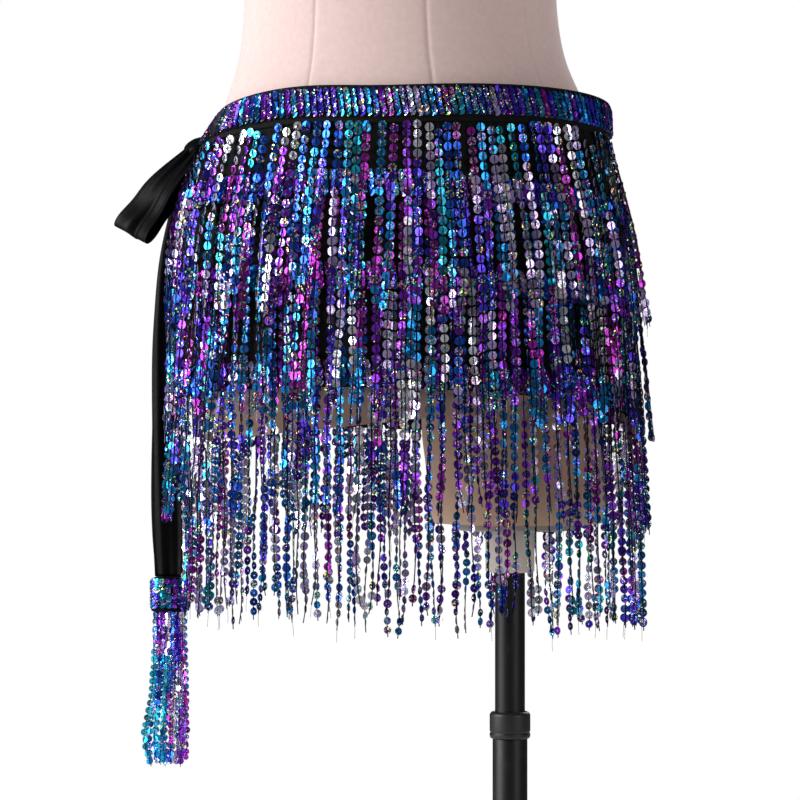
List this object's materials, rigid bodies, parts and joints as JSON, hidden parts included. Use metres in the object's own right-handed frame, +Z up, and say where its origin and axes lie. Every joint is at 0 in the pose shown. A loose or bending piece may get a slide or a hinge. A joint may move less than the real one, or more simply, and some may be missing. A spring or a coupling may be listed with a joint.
{
  "type": "belly dance hip scarf on a dress form and stand",
  "caption": "Fringed sequin hip scarf with a tied bow and tassel at one side, worn on a limbless dress form on a height-adjusted stand.",
  "frame": {"origin": "underside of the base plate, on the pole's axis", "axes": "+Z up along the pole, +X to the viewer's right as the scarf is seen from its front, -Y towards that viewer"},
  "size_m": [0.492, 0.38, 1.495],
  "materials": {
    "form_linen": "matte",
    "plate_grey": "matte",
    "socket_beige": "matte",
    "pole_black": "satin",
    "collar_plastic": "satin",
    "base_black": "satin",
    "black_knit": "matte",
    "band_sequins": "gloss",
    "fringe_sequins": "gloss",
    "tie_satin": "satin",
    "tassel_sequins": "gloss"
  },
  "bodies": {
    "stand": {"base_plate": "base_black", "pole_outer_tube": "pole_black", "pole_collar": "collar_plastic"},
    "form": {"form_body": "form_linen", "form_stub_plate": "plate_grey", "pole_socket": "socket_beige", "pole_inner_tube": "pole_black", "scarf_cloth": "black_knit", "scarf_waistband": "band_sequins", "fringe_row_1": "fringe_sequins", "fringe_row_2": "fringe_sequins", "fringe_row_3": "fringe_sequins", "fringe_row_4": "fringe_sequins", "tie_knot": "tie_satin", "tie_loop": "tie_satin", "tie_end_front": "tie_satin", "tie_end_back": "tie_satin", "tassel_front": "tassel_sequins", "tassel_back": "tassel_sequins"}
  },
  "joints": [
    {"name": "height_slide", "type": "slide", "parent": "stand", "child": "form", "axis": [0, 0, 1], "range_m": [-0.1, 0.15]}
  ]
}
